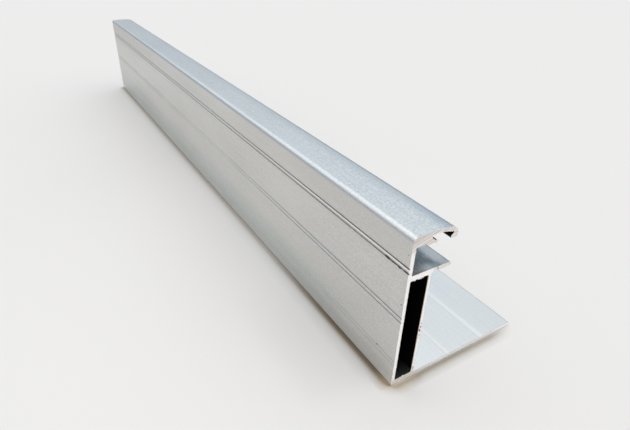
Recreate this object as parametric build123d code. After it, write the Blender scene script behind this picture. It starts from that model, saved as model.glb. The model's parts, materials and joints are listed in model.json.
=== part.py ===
from build123d import *
import os

# Length along X, then the section in mm: y from the outer wall's face, z up from the base.
length = 235.0
flange_width = 35.0
profile_height = 35.0

outer_wall = 0.7
inner_wall = 0.65
chamber_width = 4.25
base_thickness = 1.2
flange_thickness = 0.85
seat_thickness = 1.05
shelf_thickness = 0.85
shelf_reach = 10.15

# Panel groove, between the shelf and the lip.
groove_wall = 0.82
groove_height = 6.05
lip_depth = 1.95
finger_root = 3.0
finger_drop = 0.43
finger_reach = 5.55
nose_height = 0.52
nose_length = 0.7
waist_height = 0.68

# Lip, with its hook and the glue pocket between hook and finger.
lip_thickness = 0.62
pocket_end = 4.2
pocket_height = 0.5
hook_reach = 10.3
hook_drop = 2.6
hook_thickness = 0.95
hook_tip_radius = 0.25
crown_length = 3.3
crown_fall = 0.3
crown_radius = 25.0
ramp_length = 2.75
throat_height = 1.37
barb_depth = 0.55
barb_height = 0.52
barb_slope = 0.53

# Ribs in the middle of the chamber's floor and ceiling.
rib_width = 0.5
rib_height = 0.28

# Pairs of fine lines down the outer wall.
pair_count = 3
pair_foot = 5.95
pair_head = 6.7
line_gap = 1.03
line_width = 0.38
line_floor = 0.24
line_depths = (0.05, 0.15, 0.26)

# Guide lines along the flange's upper side, each a fine step down and a long slope back up.
guide_positions = (24.95, 15.1)
guide_widths = (1.25, 0.75)
guide_depths = (0.1, 0.13)
guide_step = 0.06

top_radius = 1.15
foot_radius = 0.3
flange_radius = 0.45
edge_radius = 0.12
tip_radius = 0.38
inner_radius = 0.3

groove_ceiling = profile_height - lip_depth
shelf_top = groove_ceiling - groove_height
chamber_ceiling = shelf_top - seat_thickness
inner_wall_face = outer_wall + chamber_width + inner_wall
pair_pitch = (profile_height - pair_foot - pair_head) / (pair_count - 1)
nose_radius = nose_height * 0.46
hook_radius = hook_drop * 0.75


def wall_lines():
    """Corners of the fine lines, from the highest down."""
    corners = []
    for pair in reversed(range(pair_count)):
        middle = pair_foot + pair * pair_pitch
        for z in (middle + line_gap / 2, middle - line_gap / 2):
            corners += [
                (0, z + line_width / 2),
                (line_depths[pair], z + line_floor / 2),
                (line_depths[pair], z - line_floor / 2),
                (0, z - line_width / 2),
            ]
    return corners


def guide_lines():
    """Corners of the flange's guide lines, from its tip inwards."""
    corners = []
    for y, width, depth in zip(guide_positions, guide_widths, guide_depths):
        corners += [
            (y + width, flange_thickness),
            (y + guide_step, flange_thickness - depth),
            (y, flange_thickness),
        ]
    return corners


def lip_corners():
    """Rounded corners of the groove's upper side, the finger, the pocket and the hook."""
    finger_bottom = groove_ceiling - finger_drop
    lip_underside = profile_height - lip_thickness
    hook_inside = hook_reach - hook_thickness
    hook_bottom = profile_height - hook_drop
    barb = hook_inside - barb_depth
    return [
        (groove_wall, groove_ceiling, inner_radius),
        (finger_root, groove_ceiling, 0),
        (finger_root + finger_drop, finger_bottom, 0),
        (finger_reach, finger_bottom, nose_radius),
        (finger_reach, finger_bottom + nose_height, nose_radius),
        (finger_reach - nose_length, finger_bottom + waist_height, nose_radius),
        (pocket_end, lip_underside - pocket_height, edge_radius),
        (pocket_end, lip_underside, edge_radius),
        (hook_inside - ramp_length, lip_underside, 0),
        (hook_inside, hook_bottom + throat_height, edge_radius),
        (hook_inside, hook_bottom + barb_height + barb_slope, 0),
        (barb, hook_bottom + barb_height, edge_radius),
        (barb, hook_bottom, edge_radius),
        (hook_reach, hook_bottom, hook_tip_radius),
        (hook_reach, profile_height - crown_fall, hook_radius),
        (hook_reach - crown_length, profile_height, crown_radius),
    ]


def outline():
    """The section's outer edge, as (y, z, radius) corners in order round it."""
    corners = [
        (0, 0, foot_radius),
        (flange_width, 0, edge_radius),
        (flange_width, flange_thickness, flange_radius),
    ]
    corners += [(y, z, 0) for y, z in guide_lines()]
    corners += [
        (inner_wall_face, flange_thickness, inner_radius),
        (inner_wall_face, shelf_top - shelf_thickness, inner_radius),
        (shelf_reach, shelf_top - shelf_thickness, tip_radius),
        (shelf_reach, shelf_top, tip_radius),
        (groove_wall, shelf_top, edge_radius),
    ]
    corners += lip_corners()
    corners += [(0, profile_height, top_radius)]
    corners += [(y, z, 0) for y, z in wall_lines()]
    return corners


def chamber_outline():
    """The corner-key chamber, with a rib on its floor and on its ceiling."""
    left = outer_wall
    right = outer_wall + chamber_width
    middle = (left + right) / 2
    return [
        (left, base_thickness, edge_radius),
        (middle - rib_width / 2, base_thickness, 0),
        (middle, base_thickness + rib_height, 0),
        (middle + rib_width / 2, base_thickness, 0),
        (right, base_thickness, edge_radius),
        (right, chamber_ceiling, edge_radius),
        (middle + rib_width / 2, chamber_ceiling, 0),
        (middle, chamber_ceiling - rib_height, 0),
        (middle - rib_width / 2, chamber_ceiling, 0),
        (left, chamber_ceiling, inner_radius),
    ]


def rounded_face(corners):
    """A face through the corners, each rounded by its own radius."""
    face = make_face(Polyline(*[(y, z) for y, z, radius in corners], close=True))
    for y, z, radius in corners:
        if radius > 0:
            vertex = face.vertices().sort_by_distance((y, z, 0))[0]
            face = fillet(vertex, radius)
    return face


def frame_profile():
    """The section pushed out along X, centred on the origin and resting on its base."""
    section = rounded_face(outline()) - rounded_face(chamber_outline())
    end_plane = Plane(origin=(-length / 2, -flange_width / 2, 0), x_dir=(0, 1, 0), z_dir=(1, 0, 0))
    return extrude(end_plane * section, length)


os.makedirs("parts", exist_ok=True)
export_step(frame_profile(), "parts/frame_profile.step")
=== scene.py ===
import json
import math
import random

import bmesh
import bpy
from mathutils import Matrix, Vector


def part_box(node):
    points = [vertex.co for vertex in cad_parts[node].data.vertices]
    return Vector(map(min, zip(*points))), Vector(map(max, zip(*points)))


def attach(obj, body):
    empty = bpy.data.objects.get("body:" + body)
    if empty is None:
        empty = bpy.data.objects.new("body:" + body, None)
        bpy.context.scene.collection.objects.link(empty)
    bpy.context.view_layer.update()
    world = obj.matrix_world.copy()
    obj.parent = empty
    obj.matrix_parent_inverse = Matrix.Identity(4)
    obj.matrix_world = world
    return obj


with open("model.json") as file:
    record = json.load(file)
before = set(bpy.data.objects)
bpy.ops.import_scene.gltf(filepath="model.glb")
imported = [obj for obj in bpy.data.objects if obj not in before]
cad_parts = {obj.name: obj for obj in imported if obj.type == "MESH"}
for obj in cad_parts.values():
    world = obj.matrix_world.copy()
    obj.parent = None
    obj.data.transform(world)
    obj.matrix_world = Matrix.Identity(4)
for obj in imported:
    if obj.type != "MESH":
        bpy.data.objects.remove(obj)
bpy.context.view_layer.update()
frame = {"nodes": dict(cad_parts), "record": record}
profile = frame["nodes"]["frame_profile"]
low_corner, high_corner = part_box("frame_profile")
OPENINGS = {hole["name"]: hole["box_m"] for hole in frame["record"]["physics"]["openings"]}
MM = 0.001

# The part's ends, outer face and top, in metres.
HALF_LENGTH = high_corner.x
OUTER_FACE = low_corner.y
TOP = high_corner.z
CHAMBER_CEILING = OPENINGS["corner_key_chamber"][1][2]

# From here on in millimetres, unless a comment says metres: x along the part, y from its outer
# face, z from its base.
END = HALF_LENGTH / MM
CROWN = TOP / MM
# Height of the middle of the upper pair of fine lines down the wall.
UPPER_PAIR = 28.3

# The saw blade's centre, seen square to a sawn end, as y and z, and the radius of a burnished arc.
BLADE_CENTRE = (40, -80)
BLADE_ARC = 120.2

# Ink on the near end: y, z, width, height.
INK_SPECKS = (
    (5.42, 13.25, 0.42, 0.62),
    (5.35, 12.3, 0.55, 0.72),
    (5.15, 12.75, 0.24, 0.35),
    (5.42, 14.2, 0.24, 0.34),
    (5.38, 11.15, 0.3, 0.4),
    (5.3, 10.5, 0.2, 0.26),
)

# Dirt on the outer wall: x, z, depth under its face, length, height.
WALL_DIRT = (
    (111.9, 27.86, 0.0, 1.9, 0.62),
    (113.5, 27.8, 0.03, 1.6, 0.42),
    (115.05, 27.74, 0.0, 0.8, 0.56),
    (116.7, 27.8, 0.01, 1.5, 0.46),
    (116.2, 28.81, 0.06, 1.6, 0.3),
    (112.04, 6.62, 0.0, 0.5, 0.5),
    (116.9, 20.6, 0.0, 0.44, 0.26),
    (116.9, 31.4, 0.0, 0.3, 0.2),
)

# Dirt on the near end: y, z, width, height, lean.
END_DIRT = (
    (7.02, 26.65, 0.2, 0.96, -0.28),
    (5.42, 2.2, 0.2, 0.9, 0.0),
)

# The saw's burr, in metres: the spacing of its points, its least height, and how far past that it
# stands out at most, in plain places, in ragged ones and on the chamber's ceiling.
BURR_STEP = 0.2 * MM
BURR_LEAST = 0.01 * MM
BURR_PLAIN = 0.07 * MM
BURR_RAGGED = 0.12 * MM
BURR_LONGEST = 0.34 * MM

# Colours of the anodised skin, and the grey of its speckle.
SKIN_DARK = (0.682, 0.676, 0.65)
SKIN_LIGHT = (0.722, 0.716, 0.69)
SKIN_CLOUD = (0.75, 0.747, 0.722)
SPECKLE_GREY = (0.55, 0.553, 0.543)
# Tones for the wall, and the colours of painted shade in the fine lines and in the throat.
DARKER_WALL_TONE = (0.54, 0.53, 0.5)
SLOT_SHADE = (0.3, 0.29, 0.32)
THROAT_SHADE = (0.02, 0.025, 0.03)

# Parts of a tint's mask: the outer face, a fine line's inside, how deep it is there, and nearness
# to the near end.
FACE = ("y", -1, 0.01)
SLOT = ("y", 0, 0.4)
SLOT_MOUTH = ("y", 0.01, 0.1)
NEARNESS = ("x", 20, 100, 0.1, 1.0)

# Tints and painted light and shade by place, one after another: colour, kind of blend, strength,
# smooth ramps, hard bands.
# A ramp is an axis, where it begins and ends, and what it is there if that isn't 0 and 1.
WALL_TONES_AND_LIGHT = (
    # The upper wall darker by the near end, and the wall darker towards the far end.
    (DARKER_WALL_TONE, "MIX", 0.42, (("z", 22, 32), ("x", 20, 100)), (FACE,)),
    (DARKER_WALL_TONE, "MIX", 0.42, (("x", -20, -90),), (FACE,)),
    # The upper wall is darker from the middle on.
    ((0.87, 0.875, 0.88), "MULTIPLY", 1.0, (("z", 23, 31), ("x", 45, -30)), (FACE,)),
    # The strip between the upper pair of lines: bright above, and below it painted shade that
    # widens the lower line.
    (
        (0.93, 0.93, 0.915),
        "MIX",
        1.0,
        (("x", 40, 108, 0.0, 0.75),),
        (FACE, ("z", UPPER_PAIR, UPPER_PAIR + 0.32)),
    ),
    (
        (0.36, 0.36, 0.375),
        "MIX",
        0.6,
        (NEARNESS,),
        (FACE, ("z", UPPER_PAIR - 0.32, UPPER_PAIR - 0.1)),
    ),
    # The rounded top edge: a grey band of painted reflection, and a painted highlight above it.
    (
        (0.55, 0.55, 0.6),
        "MIX",
        1.0,
        (("z", CROWN - 1.3, CROWN - 1.0), ("z", CROWN - 0.45, CROWN - 0.8, 0.0, 0.8)),
        (("y", -1, 0.6),),
    ),
    (
        (0.95, 0.955, 0.95),
        "MIX",
        1.0,
        (("y", 0.2, 0.38, 0.0, 0.3), ("y", 0.95, 0.6)),
        (("z", CROWN - 0.5, CROWN + 1),),
    ),
)
HOLLOW_SHADE = (
    # Painted shade in the glue pocket, and in the throat behind the hook's barb.
    (THROAT_SHADE, "MIX", 0.9, (), (("y", 4.1, 9.45), ("z", CROWN - 1.9, CROWN - 0.55))),
    (THROAT_SHADE, "MIX", 0.9, (), (("y", 8.1, 9.45), ("z", CROWN - 2.55, CROWN - 1.9))),
    # Painted shade inside the fine lines: the lower pair, the middle pair and the upper pair's two.
    (SLOT_SHADE, "MIX", 0.9, (SLOT_MOUTH, NEARNESS, ("x", 50, 100, 0.2, 1.0)), (SLOT, ("z", 3, 12))),
    (SLOT_SHADE, "MIX", 0.9, (SLOT_MOUTH, NEARNESS), (SLOT, ("z", 12, 24))),
    (SLOT_SHADE, "MIX", 0.3, (SLOT_MOUTH, NEARNESS), (SLOT, ("z", 24, UPPER_PAIR))),
    (SLOT_SHADE, "MIX", 0.6, (SLOT_MOUTH, NEARNESS), (SLOT, ("z", UPPER_PAIR, CROWN - 4))),
)

# How much painted shade dims the open groove, at shares of the way from the outer face to
# GROOVE_REACH.
GROOVE_REACH = 10.5
GROOVE_STOPS = (
    (0.085, (0.05, 0.05, 0.05)),
    (0.11, (0.45, 0.45, 0.45)),
    (0.38, (0.62, 0.62, 0.62)),
    (0.66, (0.68, 0.68, 0.68)),
    (0.715, (0.55, 0.55, 0.55)),
    (0.77, (0.36, 0.36, 0.36)),
    (0.88, (0.33, 0.33, 0.33)),
    (0.965, (0.6, 0.6, 0.6)),
)

# Painted shadow on the floor, by how open it is above: beside the wall and its near end, before
# the sawn end and at that end's corner.
# The lightest level is painted light: the open floor by the part, brighter than farther off.
OPEN_FLOOR = (1.045, 1.045, 1.045)
CONTACT_STOPS = (
    (0.5, (0.24, 0.21, 0.165)),
    (0.585, (0.2, 0.16, 0.11)),
    (0.625, (0.23, 0.18, 0.12)),
    (0.67, (0.32, 0.26, 0.2)),
    (0.71, (0.44, 0.385, 0.33)),
    (0.77, (0.6, 0.57, 0.53)),
    (0.82, (0.73, 0.725, 0.715)),
    (0.89, (0.81, 0.81, 0.815)),
    (0.96, (0.9, 0.9, 0.9)),
    (1.0, OPEN_FLOOR),
)
CONTACT_END_STOPS = (
    (0.5, (0.56, 0.47, 0.35)),
    (0.585, (0.45, 0.34, 0.23)),
    (0.625, (0.44, 0.32, 0.2)),
    (0.67, (0.5, 0.37, 0.25)),
    (0.71, (0.585, 0.47, 0.37)),
    (0.77, (0.7, 0.63, 0.53)),
    (0.82, (0.8, 0.75, 0.715)),
    (0.89, (0.83, 0.79, 0.78)),
    (0.96, (0.87, 0.85, 0.84)),
    (1.0, OPEN_FLOOR),
)
END_STOPS = (
    (0.5, (0.8, 0.78, 0.76)),
    (0.6, (0.67, 0.645, 0.62)),
    (0.69, (0.49, 0.455, 0.41)),
    (0.765, (0.51, 0.465, 0.4)),
    (0.82, (0.55, 0.5, 0.43)),
    (0.86, (0.59, 0.55, 0.48)),
    (0.905, (0.73, 0.7, 0.65)),
    (0.935, (0.84, 0.83, 0.81)),
    (0.965, (0.94, 0.94, 0.94)),
    (1.0, OPEN_FLOOR),
)
CORNER_STOPS = (
    (0.5, (0.9, 0.87, 0.84)),
    (0.575, (0.73, 0.68, 0.58)),
    (0.645, (0.61, 0.555, 0.46)),
    (0.705, (0.59, 0.53, 0.43)),
    (0.755, (0.65, 0.58, 0.48)),
    (0.8, (0.71, 0.645, 0.54)),
    (0.855, (0.81, 0.76, 0.66)),
    (0.895, (0.9, 0.86, 0.8)),
    (0.94, (0.97, 0.96, 0.94)),
    (1.0, OPEN_FLOOR),
)

# The floor's half side and level in metres, its colour, and from how far off in metres the part's
# painted shadow reaches.
FLOOR_REACH = 6
FLOOR_LEVEL = -0.13 * MM
FLOOR_COLOUR = (0.83, 0.815, 0.795)
CONTACT_REACH = 3 * MM
# The middle of the floor's painted pool of light, beside the near end.
LIGHT_POOL_CENTRE = (70, -2.5, 0)

# Colours of the room at rising heights, behind the part and in front of it.
BEHIND_STOPS = (
    (0.0, (0.24, 0.28, 0.32)),
    (0.2, (0.395, 0.465, 0.535)),
    (0.36, (0.73, 0.825, 0.925)),
    (0.48, (1.13, 1.23, 1.32)),
    (0.6, (0.8, 0.965, 1.12)),
    (0.72, (1.35, 1.48, 1.61)),
    (0.82, (1.5, 1.54, 1.6)),
    (1.0, (1.25, 1.28, 1.32)),
)
FRONT_STOPS = (
    (0.0, (0.44, 0.43, 0.42)),
    (0.34, (0.48, 0.47, 0.46)),
    (0.6, (0.92, 0.9, 0.88)),
    (1.0, (1.22, 1.23, 1.25)),
)
FURNITURE = (0.46, 0.6, 0.71)
LAMP = (1.2, 1.16, 1.13)

# The photograph's camera: lens and sensor in millimetres, place in metres, turn in degrees.
CAMERA_LENS = 27.28
CAMERA_SENSOR = 36
CAMERA_PLACE = (0.16372, -0.06565, 0.07724)
CAMERA_TURN = (59.359, -1.617, 58.810)


def new_material(name):
    """A material with only a Principled shader, which goes to its output."""
    material = bpy.data.materials.new(name)
    material.use_nodes = True
    tree = material.node_tree
    tree.nodes.clear()
    shader = tree.nodes.new("ShaderNodeBsdfPrincipled")
    output = tree.nodes.new("ShaderNodeOutputMaterial")
    tree.links.new(shader.outputs["BSDF"], output.inputs["Surface"])
    return material, tree, shader


def plug(tree, value, socket):
    """Links a socket, or sets a number or a colour."""
    if isinstance(value, bpy.types.NodeSocket):
        tree.links.new(value, socket)
    elif isinstance(value, tuple) and len(socket.default_value) == 4:
        socket.default_value = (*value, 1.0)
    else:
        socket.default_value = value


def maths(tree, operation, *values):
    """A Math node on sockets or numbers."""
    node = tree.nodes.new("ShaderNodeMath")
    node.operation = operation
    for socket, value in zip(node.inputs, values):
        plug(tree, value, socket)
    return node.outputs[0]


def ramp(tree, value, low, high, to_low=0.0, to_high=1.0):
    """value taken smoothly from the span low..high to to_low..to_high."""
    node = tree.nodes.new("ShaderNodeMapRange")
    node.interpolation_type = "SMOOTHSTEP"
    for name, number in (
        ("Value", value),
        ("From Min", low),
        ("From Max", high),
        ("To Min", to_low),
        ("To Max", to_high),
    ):
        plug(tree, number, node.inputs[name])
    return node.outputs["Result"]


def within(tree, value, low, high):
    """1 where value lies between low and high, and 0 elsewhere."""
    return maths(tree, "COMPARE", value, (low + high) / 2, (high - low) / 2)


def shades(tree, value, stops):
    """A colour ramp through (position, colour) stops."""
    node = tree.nodes.new("ShaderNodeValToRGB")
    elements = node.color_ramp.elements
    while len(elements) < len(stops):
        elements.new(0.5)
    for element, (position, colour) in zip(elements, stops):
        element.position = position
        element.color = (*colour, 1.0)
    tree.links.new(value, node.inputs["Fac"])
    return node.outputs["Color"]


def noise(tree, place, scale, stretch=(1, 1, 1), detail=2.0, roughness=0.5):
    """Noise with scale features a metre, drawn out along an axis whose stretch is under 1."""
    mapping = tree.nodes.new("ShaderNodeMapping")
    mapping.inputs["Scale"].default_value = stretch
    tree.links.new(place, mapping.inputs["Vector"])
    node = tree.nodes.new("ShaderNodeTexNoise")
    node.inputs["Scale"].default_value = scale
    node.inputs["Detail"].default_value = detail
    node.inputs["Roughness"].default_value = roughness
    tree.links.new(mapping.outputs["Vector"], node.inputs["Vector"])
    return node.outputs["Fac"]


def blend(tree, factor, first, second, kind="MIX"):
    """A mix of two colours, sockets or plain."""
    node = tree.nodes.new("ShaderNodeMix")
    node.data_type = "RGBA"
    node.blend_type = kind
    plug(tree, factor, node.inputs["Factor"])
    plug(tree, first, node.inputs[6])
    plug(tree, second, node.inputs[7])
    return node.outputs[2]


def bump(tree, height, distance, normal=None):
    """A normal raised by height times a distance in metres."""
    node = tree.nodes.new("ShaderNodeBump")
    node.inputs["Distance"].default_value = distance
    tree.links.new(height, node.inputs["Height"])
    if normal is not None:
        tree.links.new(normal, node.inputs["Normal"])
    return node.outputs["Normal"]


def measured(tree):
    """Where a point lies: its place in metres, and in millimetres as a dict of axes.

    The axes are x, y from the outer face, z, along, which is x without its sign, and point, which
    is x, y and z together.
    """
    place = tree.nodes.new("ShaderNodeTexCoord").outputs["Object"]
    mapping = tree.nodes.new("ShaderNodeMapping")
    mapping.inputs["Location"].default_value = (0, -OUTER_FACE / MM, 0)
    mapping.inputs["Scale"].default_value = (1 / MM, 1 / MM, 1 / MM)
    tree.links.new(place, mapping.inputs["Vector"])
    point = mapping.outputs["Vector"]
    split = tree.nodes.new("ShaderNodeSeparateXYZ")
    tree.links.new(point, split.inputs[0])
    x, y, z = split.outputs
    return place, {"x": x, "y": y, "z": z, "along": maths(tree, "ABSOLUTE", x), "point": point}


def mask(tree, axes, ramps=(), bands=(), strength=1.0):
    """strength times smooth ramps and hard bands, each an axis and its numbers."""
    value = strength
    for axis, *numbers in ramps:
        value = maths(tree, "MULTIPLY", value, ramp(tree, axes[axis], *numbers))
    for axis, low, high in bands:
        value = maths(tree, "MULTIPLY", value, within(tree, axes[axis], low, high))
    return value


def tinted(tree, axes, colour, tints):
    """colour after each of the tints, in order."""
    for tone, kind, strength, ramps, bands in tints:
        colour = blend(tree, mask(tree, axes, ramps, bands, strength), colour, tone, kind)
    return colour


def saw_marks(tree, place, axes):
    """Distance from the blade's centre, and the streaks that its teeth leave along those arcs."""
    mapping = tree.nodes.new("ShaderNodeMapping")
    mapping.inputs["Location"].default_value = (0, -BLADE_CENTRE[0], -BLADE_CENTRE[1])
    mapping.inputs["Scale"].default_value = (0, 1, 1)
    tree.links.new(axes["point"], mapping.inputs["Vector"])
    length = tree.nodes.new("ShaderNodeVectorMath")
    length.operation = "LENGTH"
    tree.links.new(mapping.outputs["Vector"], length.inputs[0])
    arc = length.outputs["Value"]
    wander = maths(tree, "MULTIPLY", noise(tree, place, 500), 0.5)
    node = tree.nodes.new("ShaderNodeTexNoise")
    node.noise_dimensions = "1D"
    node.inputs["Scale"].default_value = 3.2
    node.inputs["Detail"].default_value = 3
    tree.links.new(maths(tree, "ADD", arc, wander), node.inputs["W"])
    return arc, node.outputs["Fac"]


def sawn_colour(tree, place, axes):
    """Bare metal with the blade's arcs, dull and pinkish across the lip, cool along the flange."""
    arc, marks = saw_marks(tree, place, axes)
    foot = blend(tree, ramp(tree, axes["y"], 5, 11), (0.77, 0.745, 0.71), (0.92, 0.94, 0.97))
    colour = blend(tree, ramp(tree, axes["z"], 0.9, 1.6), foot, (0.97, 0.965, 0.955))
    lip = ramp(tree, axes["z"], CROWN - 4, CROWN - 2)
    colour = blend(tree, lip, colour, (0.76, 0.725, 0.705))
    burnished = maths(tree, "MULTIPLY", ramp(tree, arc, BLADE_ARC - 0.1, BLADE_ARC + 0.1), lip)
    colour = blend(tree, burnished, colour, (0.66, 0.615, 0.595))
    shelf_end = mask(tree, axes, [("y", 5.6, 6.4)], [("z", 25, 28)])
    colour = blend(tree, shelf_end, colour, (0.75, 0.745, 0.73))
    rim = mask(tree, axes, (), [("y", 4.94, 5.12), ("z", 1.6, CHAMBER_CEILING / MM)])
    colour = blend(tree, rim, colour, (0.55, 0.44, 0.34))
    streaks = blend(tree, ramp(tree, marks, 0.4, 0.6), (0.8, 0.77, 0.76), (1.13, 1.13, 1.13))
    streaked = maths(tree, "MULTIPLY_ADD", lip, 0.7, 0.3)
    return blend(tree, streaked, colour, streaks, "MULTIPLY"), marks


def skin_colour(tree, place, axes, die, grain):
    """The anodised skin, with painted light on its crown, before the later tints, and how strongly
    it is speckled.
    """
    on_flange = mask(tree, axes, [("z", 1.2, 0.95), ("y", 5, 6)])
    on_crown = ramp(tree, axes["z"], CROWN - 1, CROWN - 0.4)
    speckled = ramp(tree, on_flange, 0.0, 1.0, 1.0, 0.4)
    speckled = maths(tree, "ADD", speckled, maths(tree, "MULTIPLY", on_crown, 0.4))
    grey = maths(tree, "MULTIPLY", ramp(tree, grain, 0.4, 0.62, 0.0, 0.75), speckled)
    colour = blend(tree, ramp(tree, die, 0.3, 0.7), SKIN_DARK, SKIN_LIGHT)
    colour = blend(tree, grey, colour, SPECKLE_GREY)
    colour = blend(tree, maths(tree, "MULTIPLY", on_flange, 0.22), colour, SPECKLE_GREY)
    # The crown painted lighter towards the near end: painted light.
    crown_lit = maths(tree, "MULTIPLY", on_crown, ramp(tree, axes["x"], -60, 40))
    colour = blend(tree, crown_lit, colour, (1.07, 1.065, 1.06), "MULTIPLY")
    cloud = noise(tree, place, 60, (0.4, 1, 1), 3)
    colour = blend(tree, ramp(tree, cloud, 0.35, 0.7, 0.0, 0.35), colour, SKIN_CLOUD)
    return colour, speckled


def hook_painted_reflection(tree, axes, colour):
    """The crown's fall to the hook, darker and bluer as a painted reflection, and more of it by the
    near end.
    """
    near_end_patch = mask(tree, axes, [("x", END - 16, END - 3, 0.0, 0.6), ("y", 5.8, 8.6)])
    hook = maths(tree, "MAXIMUM", ramp(tree, axes["y"], 7.8, 10), near_end_patch)
    hook = maths(tree, "MULTIPLY", hook, mask(tree, axes, (), [("z", CROWN - 2, CROWN + 1)], 0.6))
    return blend(tree, hook, colour, (0.33, 0.43, 0.51))


def groove_painted_shade(tree, place, axes, colour):
    """Painted shade in the panel groove's inside, blotchy, and painted lighter at its mouth by a
    sawn end.
    """
    (_, y0, z0), (_, _, z1) = OPENINGS["panel_groove"]
    split = tree.nodes.new("ShaderNodeSeparateXYZ")
    tree.links.new(place, split.inputs[0])
    # The hook's outer face lies at the end of this band, and rounding decides how much of it is
    # dark. So the band is set in metres.
    groove = within(tree, split.outputs["Y"], y0 - 0.2 * MM, OUTER_FACE + 10.3 * MM)
    high_enough = within(tree, axes["z"], z0 / MM - 0.1, z1 / MM + 0.75)
    groove = maths(tree, "MULTIPLY", groove, high_enough)
    across = maths(tree, "DIVIDE", axes["y"], GROOVE_REACH)
    blotches = ramp(tree, noise(tree, place, 420, (0.6, 1, 1), 3, 0.6), 0.35, 0.65, 0.85, 1.15)
    open_end = ramp(tree, axes["y"], 4.5, 8, 0.15, 1.15)
    inward = ramp(tree, axes["along"], END - 2.4, END - 0.6, 1.0, open_end)
    dimmed = maths(tree, "MULTIPLY", shades(tree, across, GROOVE_STOPS), groove)
    dimmed = maths(tree, "MULTIPLY", dimmed, maths(tree, "MULTIPLY", blotches, inward))
    return blend(tree, dimmed, colour, (0.003, 0.03, 0.055))


def chamber_painted_shade(tree, axes, colour):
    """Painted shade in the chamber's inside, with a little painted light on its floor by the ends.
    """
    (_, y0, z0), (_, y1, z1) = OPENINGS["corner_key_chamber"]
    across = ("y", (y0 - OUTER_FACE) / MM - 0.08, (y1 - OUTER_FACE) / MM + 0.03)
    chamber = mask(tree, axes, (), [across, ("z", z0 / MM - 0.4, z1 / MM + 0.5)])
    lit = mask(tree, axes, [("z", 2.2, 1.3), ("along", END - 5, END)])
    return blend(tree, chamber, colour, blend(tree, lit, (0.03, 0.031, 0.033), (0.28, 0.29, 0.28)))


def anodised():
    """Matte clear anodised aluminium with die lines along X, bare metal on the sawn ends."""
    material, tree, shader = new_material("anodised_aluminium")
    place, axes = measured(tree)
    sawn = maths(tree, "GREATER_THAN", axes["along"], END - 0.02)
    die = noise(tree, place, 1900, (0.004, 1, 1), 3)
    grain = noise(tree, place, 3300, (1, 1, 1), 3, 0.65)
    colour, speckled = skin_colour(tree, place, axes, die, grain)
    colour = tinted(tree, axes, colour, WALL_TONES_AND_LIGHT)
    colour = hook_painted_reflection(tree, axes, colour)
    colour = groove_painted_shade(tree, place, axes, colour)
    colour = chamber_painted_shade(tree, axes, colour)
    colour = tinted(tree, axes, colour, HOLLOW_SHADE)
    # The wall's foot painted lighter, as painted light, and made less metallic.
    dull_lit_foot = mask(tree, axes, [("z", 3.2, 0.2), ("y", 1, 0), ("x", 60, 105, 0.8, 1.0)])
    colour = blend(tree, maths(tree, "MULTIPLY", dull_lit_foot, 0.9), colour, (0.8, 0.8, 0.79))
    cool_foot = mask(tree, axes, [("z", 11, 6.5), ("z", 0.5, 2), ("x", 108, 85)], [FACE])
    colour = blend(tree, cool_foot, colour, (0.905, 0.955, 0.97), "MULTIPLY")
    bare, marks = sawn_colour(tree, place, axes)
    tree.links.new(blend(tree, sawn, colour, bare), shader.inputs["Base Color"])
    rough = maths(tree, "MULTIPLY_ADD", grain, 0.12, 0.28)
    tree.links.new(maths(tree, "MULTIPLY_ADD", sawn, 0.2, rough), shader.inputs["Roughness"])
    metallic = maths(tree, "MULTIPLY_ADD", dull_lit_foot, -0.55, 0.95)
    metallic = maths(tree, "MAXIMUM", maths(tree, "MULTIPLY_ADD", sawn, -0.7, metallic), 0.25)
    tree.links.new(metallic, shader.inputs["Metallic"])
    bevel = tree.nodes.new("ShaderNodeBevel")
    bevel.samples = 6
    bevel.inputs["Radius"].default_value = 0.12 * MM
    normal = bump(tree, die, 0.003 * MM, bevel.outputs["Normal"])
    normal = bump(tree, maths(tree, "MULTIPLY", grain, speckled), 0.035 * MM, normal)
    normal = bump(tree, maths(tree, "MULTIPLY", sawn, marks), 0.008 * MM, normal)
    tree.links.new(normal, shader.inputs["Normal"])
    return material


def mottled(name, colour, shade, scale, rough, metallic):
    """A small piece's material: colour mottled with shade."""
    material, tree, shader = new_material(name)
    place = tree.nodes.new("ShaderNodeTexCoord").outputs["Object"]
    mottle = noise(tree, place, scale, (1, 1, 1), 3)
    mixed = blend(tree, ramp(tree, mottle, 0.35, 0.65), colour, shade)
    tree.links.new(mixed, shader.inputs["Base Color"])
    tree.links.new(maths(tree, "MULTIPLY_ADD", mottle, 0.2, rough), shader.inputs["Roughness"])
    tree.links.new(bump(tree, mottle, 0.02 * MM), shader.inputs["Normal"])
    shader.inputs["Metallic"].default_value = metallic
    return material


def add_piece(name, mesh, material):
    """Makes a piece of the finished bmesh, riding on the root body."""
    bmesh.ops.recalc_face_normals(mesh, faces=mesh.faces)
    data = bpy.data.meshes.new(name)
    mesh.to_mesh(data)
    mesh.free()
    data.materials.append(material)
    piece = bpy.data.objects.new(name, data)
    bpy.context.scene.collection.objects.link(piece)
    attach(piece, "root")


def sawn_loops(side):
    """Loops of (y, z) in metres round the section, at the sawn end on the side +1 or -1 of X."""
    mesh = profile.data
    following = {}
    for face in mesh.polygons:
        corners = [mesh.vertices[i].co for i in face.vertices]
        if min(side * corner.x for corner in corners) < HALF_LENGTH - 0.001 * MM:
            continue
        flat = [(round(corner.y, 7), round(corner.z, 7)) for corner in corners]
        if side < 0:
            flat.reverse()
        for start, end in zip(flat, flat[1:] + flat[:1]):
            if (end, start) in following:
                del following[(end, start)]
            else:
                following[(start, end)] = True
    onward = dict(following.keys())
    loops = []
    while onward:
        start, point = onward.popitem()
        loop = [start]
        while point != start:
            loop.append(point)
            point = onward.pop(point)
        loops.append(loop)
    return loops


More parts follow.
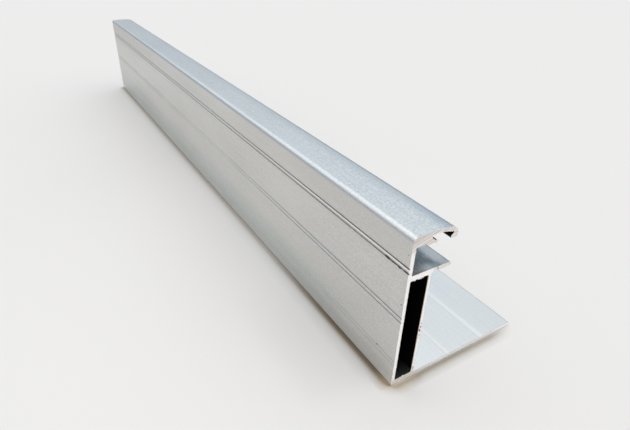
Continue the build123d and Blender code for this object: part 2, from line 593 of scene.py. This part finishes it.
def stations(loop):
    """Points every BURR_STEP round a loop, each with the direction out of the metal."""
    points = []
    spare = 0.0
    for start, end in zip(loop, loop[1:] + loop[:1]):
        run = Vector(end) - Vector(start)
        reach = run.length
        if reach == 0:
            continue
        along = run / reach
        while spare < reach:
            points.append((Vector(start) + along * spare, Vector((along.y, -along.x))))
            spare += BURR_STEP
        spare -= reach
    return points


def burr_height(point, rng):
    """How far the burr stands out of the edge, longest on the chamber's ceiling."""
    y = point.x - OUTER_FACE
    tallest = BURR_PLAIN
    if abs(point.y - CHAMBER_CEILING) < 0.6 * MM and 0.6 * MM < y < 5.1 * MM:
        tallest = BURR_LONGEST if 1.6 * MM < y < 4.2 * MM else BURR_RAGGED
    elif point.y > TOP - 3 * MM:
        tallest = BURR_RAGGED
    return BURR_LEAST + tallest * rng.random() ** 3


def make_burrs():
    """The ragged burr that the saw leaves round both ends."""
    rng = random.Random(7)
    mesh = bmesh.new()
    for side in (1, -1):
        for loop in sawn_loops(side):
            rings = []
            for point, outward in stations(loop):
                height = burr_height(point, rng)
                inner = point - outward * 0.05 * MM
                crest = point + outward * height
                back = point - outward * 0.02 * MM
                rings.append([
                    mesh.verts.new((side * (HALF_LENGTH - 0.02 * MM), *inner)),
                    mesh.verts.new((side * (HALF_LENGTH + 0.02 * MM + 0.3 * height), *crest)),
                    mesh.verts.new((side * (HALF_LENGTH - 0.02 * MM - height), *back)),
                ])
            for ring, other in zip(rings, rings[1:] + rings[:1]):
                for i in range(3):
                    mesh.faces.new((ring[i], ring[i - 1], other[i - 1], other[i]))
    metal = mottled("burr_metal", (0.93, 0.92, 0.9), (0.7, 0.67, 0.65), 2600, 0.35, 0.4)
    add_piece("saw_burrs", mesh, metal)


def fleck(mesh, centre, across, up, rng):
    """A thin ragged fleck round a centre, with two half-axes in its plane."""
    count = 13
    lift = across.cross(up).normalized() * 0.012 * MM
    shape = []
    for i in range(count):
        turn = math.tau * i / count
        shape.append((across * math.cos(turn) + up * math.sin(turn)) * rng.uniform(0.65, 1.15))
    low = [mesh.verts.new(centre + arm - lift) for arm in shape]
    high = [mesh.verts.new(centre + arm * 0.85 + lift) for arm in shape]
    mesh.faces.new(low)
    mesh.faces.new(high[::-1])
    for i in range(count):
        mesh.faces.new((low[i - 1], low[i], high[i], high[i - 1]))


def spot(x, y, z):
    """A point from its x in metres, and its y from the outer face and z in millimetres."""
    return Vector((x, OUTER_FACE + y * MM, z * MM))


def half_axis(x, y, z):
    """Half of a size given in millimetres along the axes."""
    return Vector((x * MM / 2, y * MM / 2, z * MM / 2))


def make_ink():
    """Specks of a marker's magenta ink on the inner wall's sawn edge."""
    rng = random.Random(11)
    mesh = bmesh.new()
    for y, z, width, height in INK_SPECKS:
        fleck(mesh, spot(HALF_LENGTH, y, z), half_axis(0, width, 0), half_axis(0, 0, height), rng)
    ink = mottled("ink", (0.24, 0.01, 0.07), (0.4, 0.1, 0.18), 5000, 0.4, 0.0)
    add_piece("ink_specks", mesh, ink)


def make_dirt():
    """Dark dirt in the upper fine lines and pits of the wall, and across the shelf's sawn edge."""
    rng = random.Random(5)
    mesh = bmesh.new()
    for x, z, depth, length, height in WALL_DIRT:
        fleck(mesh, spot(x * MM, depth, z), half_axis(length, 0, 0), half_axis(0, 0, height), rng)
    for y, z, width, height, lean in END_DIRT:
        up = half_axis(0, lean * height, height)
        fleck(mesh, spot(HALF_LENGTH, y, z), half_axis(0, width, 0), up, rng)
    dirt = mottled("dirt", (0.02, 0.018, 0.02), (0.1, 0.085, 0.08), 4000, 0.6, 0.0)
    add_piece("dirt_specks", mesh, dirt)


def make_camera():
    """The photograph's camera, as fitted to the part's own edges."""
    data = bpy.data.cameras.new("camera")
    data.lens = CAMERA_LENS
    data.sensor_width = CAMERA_SENSOR
    data.clip_start = 0.005
    data.clip_end = 50
    camera = bpy.data.objects.new("camera", data)
    camera.location = CAMERA_PLACE
    camera.rotation_euler = [math.radians(a) for a in CAMERA_TURN]
    bpy.context.scene.collection.objects.link(camera)
    bpy.context.scene.camera = camera


def floor_painted_light(tree):
    """Painted shadow on the board by how open it is above and where it lies beside the part, and a
    painted pool of light by the part.
    """
    near = tree.nodes.new("ShaderNodeAmbientOcclusion")
    near.samples = 16
    near.inputs["Distance"].default_value = CONTACT_REACH
    openness = near.outputs["AO"]
    _, axes = measured(tree)
    x, y = axes["x"], axes["y"]
    contact = shades(tree, openness, CONTACT_STOPS)
    contact_end = shades(tree, openness, CONTACT_END_STOPS)
    contact = blend(tree, ramp(tree, x, END - 5.5, END - 0.5), contact, contact_end)
    # A broad painted shadow beside the wall, and a narrow one at its foot.
    broad = mask(tree, axes, [("x", 70, 95), ("y", -20, -12, 0.0, 0.045)])
    band = maths(tree, "ADD", broad, ramp(tree, y, -5, -2.4, 0.0, 0.1))
    beside = mask(tree, axes, [("along", END, END - 8)], [("y", -1000, 0)])
    beside = maths(tree, "MULTIPLY", beside, band)
    lightest = maths(tree, "SUBTRACT", OPEN_FLOOR[0], beside)
    contact = blend(tree, 1.0, contact, lightest, "DARKEN")
    before_end = shades(tree, openness, END_STOPS)
    deep = maths(tree, "MULTIPLY", ramp(tree, y, 24.5, 19.5), ramp(tree, openness, 0.87, 0.72))
    before_end = blend(tree, deep, before_end, (0.86, 0.86, 0.83), "MULTIPLY")
    corner = shades(tree, openness, CORNER_STOPS)
    before_end = blend(tree, ramp(tree, y, 7, 3), before_end, corner)
    contact = blend(tree, ramp(tree, x, END - 0.3, END + 0.2), contact, before_end)
    faded = ramp(tree, y, 27, 35, 0.0, 0.95)
    faded = maths(tree, "MAXIMUM", faded, ramp(tree, x, 100, 60, 0.0, 0.4))
    contact = blend(tree, faded, contact, OPEN_FLOOR)
    # A painted pool of light beside the near end: the floor is darker farther off.
    apart = tree.nodes.new("ShaderNodeVectorMath")
    apart.operation = "DISTANCE"
    tree.links.new(axes["point"], apart.inputs[0])
    apart.inputs[1].default_value = LIGHT_POOL_CENTRE
    farther = ramp(tree, apart.outputs["Value"], 28, 95, 1.0, 0.963)
    return blend(tree, 1.0, contact, farther, "MULTIPLY")


def make_floor():
    """A pale board, a hair under the base, which the saw's burrs keep off it."""
    mesh = bpy.data.meshes.new("floor")
    sides = ((-1, -1), (1, -1), (1, 1), (-1, 1))
    corners = [(x * FLOOR_REACH, y * FLOOR_REACH, FLOOR_LEVEL) for x, y in sides]
    mesh.from_pydata(corners, [], [(0, 1, 2, 3)])
    floor = bpy.data.objects.new("floor", mesh)
    bpy.context.scene.collection.objects.link(floor)
    material, tree, shader = new_material("floor")
    colour = blend(tree, 1.0, FLOOR_COLOUR, floor_painted_light(tree), "MULTIPLY")
    tree.links.new(colour, shader.inputs["Base Color"])
    shader.inputs["Roughness"].default_value = 0.9
    shader.inputs["Specular IOR Level"].default_value = 0.2
    mesh.materials.append(material)


def toward(tree, direction, azimuth, rise, low, high):
    """How far a direction points to an azimuth in degrees, taken from low..high to 0..1."""
    node = tree.nodes.new("ShaderNodeVectorMath")
    node.operation = "DOT_PRODUCT"
    tree.links.new(direction, node.inputs[0])
    angle = math.radians(azimuth)
    node.inputs[1].default_value = (math.cos(angle), math.sin(angle), rise)
    return ramp(tree, node.outputs["Value"], low, high)


def make_world():
    """A soft room: bright and cool behind the part, dim and warm before it, a lamp to the right."""
    world = bpy.data.worlds.new("world")
    bpy.context.scene.world = world
    world.use_nodes = True
    tree = world.node_tree
    direction = tree.nodes.new("ShaderNodeTexCoord").outputs["Generated"]
    split = tree.nodes.new("ShaderNodeSeparateXYZ")
    tree.links.new(direction, split.inputs[0])
    behind = shades(tree, split.outputs["Z"], BEHIND_STOPS)
    front = shades(tree, split.outputs["Z"], FRONT_STOPS)
    colour = blend(tree, toward(tree, direction, 165, 0, 0.2, 0.72), front, behind)
    furniture = toward(tree, direction, 122, -0.25, 0.74, 0.93)
    colour = blend(tree, furniture, colour, FURNITURE, "MULTIPLY")
    colour = blend(tree, toward(tree, direction, 20, 0, 0.35, 0.9), colour, LAMP)
    tree.links.new(colour, tree.nodes["Background"].inputs["Color"])


make_camera()
make_burrs()
make_ink()
make_dirt()
make_floor()
make_world()
profile.material_slots[0].material = anodised()

bpy.context.scene.view_settings.view_transform = "Standard"
